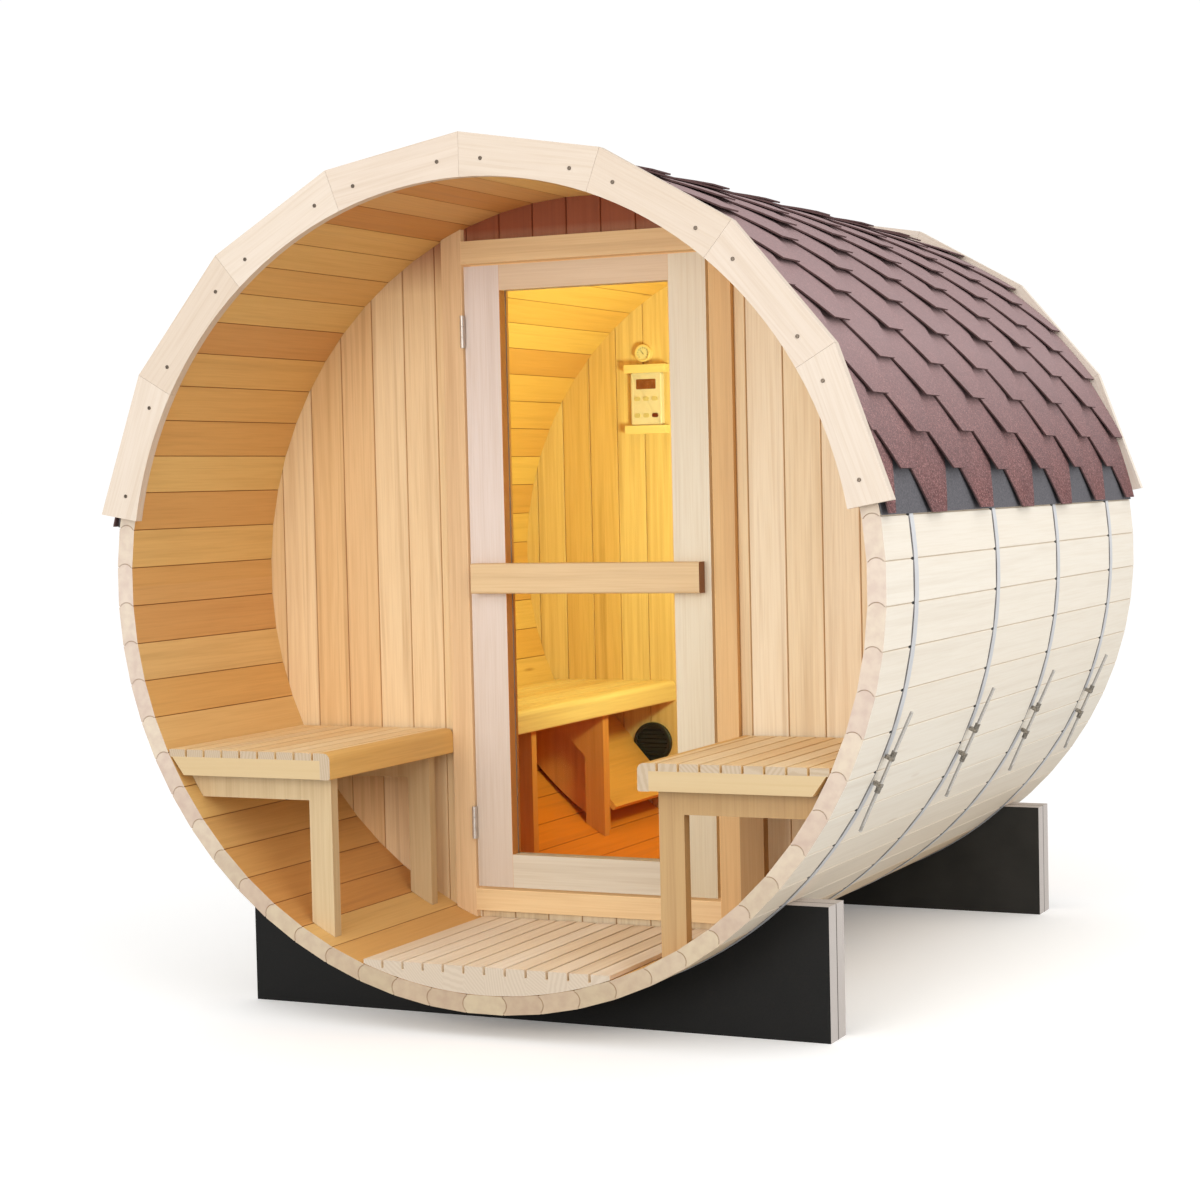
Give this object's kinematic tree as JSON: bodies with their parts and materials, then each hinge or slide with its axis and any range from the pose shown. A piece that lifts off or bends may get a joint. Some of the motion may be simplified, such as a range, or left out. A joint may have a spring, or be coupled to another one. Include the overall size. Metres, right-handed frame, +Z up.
{
  "type": "barrel sauna",
  "caption": "Coopered timber barrel sauna on two cradles, with an open porch and benches, a glazed cabin door, steel bands and a shingled roof.",
  "frame": {"origin": "on the ground under the middle of the barrel", "axes": "+X to the right seen from the front, +Y along the barrel to the back, +Z up"},
  "size_m": [1.8434, 2.094, 1.8893],
  "materials": {
    "stave_wood": "planed, matt",
    "wall_wood": "planed, matt",
    "frame_wood": "planed, matt",
    "door_wood": "planed, matt",
    "bench_wood": "planed, matt",
    "cradle_ply": "phenolic film, satin",
    "band_steel": "brushed",
    "hinge_steel": "satin",
    "door_glass": "clear",
    "handle_wood": "planed, matt",
    "roof_felt": "bitumen felt",
    "shingle": "mineral granules",
    "fascia_wood": "planed, matt",
    "panel_plastic": "satin",
    "dial_wood": "satin",
    "vent_plastic": "matt"
  },
  "bodies": {
    "sauna": {"staves_bottom": "stave_wood", "staves_right": "stave_wood", "staves_top": "stave_wood", "staves_left": "stave_wood", "front_wall_left": "wall_wood", "front_wall_right": "wall_wood", "front_wall_over_door": "wall_wood", "front_wall_under_door": "wall_wood", "rear_wall": "wall_wood", "door_post_left": "frame_wood", "door_post_right": "frame_wood", "door_header": "frame_wood", "door_sill": "frame_wood", "porch_floor": "bench_wood", "left_bench_seat": "bench_wood", "left_bench_frame": "bench_wood", "right_bench_seat": "bench_wood", "right_bench_frame": "bench_wood", "cabin_bench_seat": "bench_wood", "cabin_bench_frame": "bench_wood", "cabin_bench_panel": "bench_wood", "cabin_bench_backboard": "bench_wood", "front_cradle": "cradle_ply", "rear_cradle": "cradle_ply", "steel_bands": "band_steel", "band_tensioners": "band_steel", "frame_hinges": "hinge_steel", "roof_underlay": "roof_felt", "shingles_left": "shingle", "shingles_right": "shingle", "ridge_cap": "shingle", "front_fascia": "fascia_wood", "rear_fascia": "fascia_wood", "control_panel": "panel_plastic", "panel_ledges": "bench_wood", "thermometer": "dial_wood", "air_vent": "vent_plastic"},
    "door": {"door_left_stile": "door_wood", "door_right_stile": "door_wood", "door_top_rail": "door_wood", "door_bottom_rail": "door_wood", "door_glass": "door_glass", "door_handle": "handle_wood", "door_hinges": "hinge_steel"}
  },
  "joints": [
    {"name": "door_hinge", "type": "hinge", "parent": "sauna", "child": "door", "pos_m": [-0.3065, -0.4765, 0.95], "axis": [0, 0, -1], "range_deg": [0, 90]}
  ]
}
